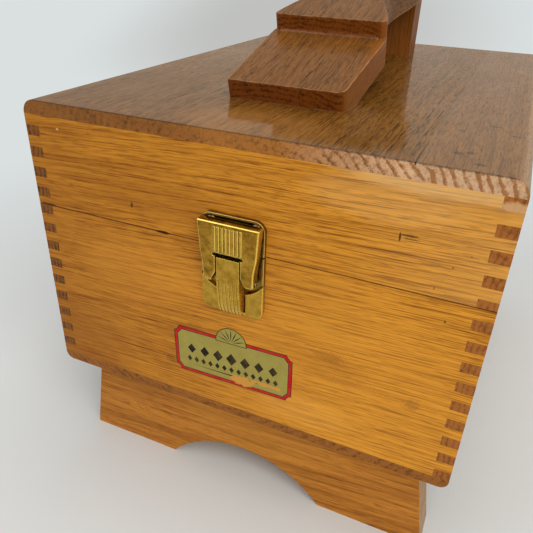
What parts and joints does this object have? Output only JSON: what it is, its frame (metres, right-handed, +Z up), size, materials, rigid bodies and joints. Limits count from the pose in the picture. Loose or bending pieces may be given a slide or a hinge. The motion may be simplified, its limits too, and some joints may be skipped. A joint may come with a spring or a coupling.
{
  "type": "shoe shine box",
  "caption": "Finger-jointed wooden shoe shine box on two arched feet, with a hinged lid, a draw latch and a shoe-sole footrest that is also the handle.",
  "frame": {"origin": "on the ground, under the middle of the whole object", "axes": "+X to the right seen from the latch side, -Y towards the latch side, +Z up"},
  "size_m": [0.27, 0.383, 0.3531],
  "materials": {
    "oak_frame": "clear satin varnish over honey-coloured oak with fine dark grain, end grain darker on the fingers",
    "oak_top": "satin varnish over darker brown oak with short dark pores",
    "oak_base": "satin varnish over honey-coloured oak with broad figure",
    "oak_rest": "satin varnish over brown oak, worn paler along its edges",
    "beech_dowel": "bare turned wood",
    "brass_sheet": "bright pressed sheet brass, aged to olive gold",
    "brass_hinge": "drawn brass, dulled",
    "brass_screw": "turned brass screw, dulled",
    "steel_screw": "plain zinc-coloured steel",
    "spring_steel": "blued spring strip"
  },
  "bodies": {
    "box": {"body_front_board": "oak_frame", "body_back_board": "oak_frame", "body_left_board": "oak_frame", "body_right_board": "oak_frame", "bottom_board": "oak_base", "front_foot": "oak_base", "rear_foot": "oak_base", "foot_screws": "steel_screw", "left_hinge_body_leaf": "brass_hinge", "right_hinge_body_leaf": "brass_hinge", "left_hinge_pin": "brass_hinge", "right_hinge_pin": "brass_hinge", "hinge_body_screws": "brass_screw", "latch_base_plate": "brass_sheet", "latch_housing": "brass_sheet", "latch_pivot_pin": "brass_screw", "latch_spring": "spring_steel", "latch_base_screws": "brass_screw"},
    "lid": {"lid_front_board": "oak_frame", "lid_back_board": "oak_frame", "lid_left_board": "oak_frame", "lid_right_board": "oak_frame", "top_board": "oak_top", "footrest": "oak_rest", "footrest_post": "oak_rest", "post_dowels": "beech_dowel", "heel_screws": "steel_screw", "post_screws": "steel_screw", "left_hinge_lid_leaf": "brass_hinge", "right_hinge_lid_leaf": "brass_hinge", "hinge_lid_screws": "brass_screw", "catch_plate": "brass_sheet", "catch_screws": "brass_screw"},
    "lever": {"latch_lever": "brass_sheet", "latch_claw": "brass_sheet"}
  },
  "joints": [
    {"name": "lid_hinge", "type": "hinge", "parent": "box", "child": "lid", "pos_m": [0, 0.18915, 0.19565], "axis": [-1, 0, 0], "range_deg": [0, 105]},
    {"name": "lever_pivot", "type": "hinge", "parent": "box", "child": "lever", "pos_m": [0, -0.18745, 0.18015], "axis": [1, 0, 0], "range_deg": [0, 100]}
  ]
}
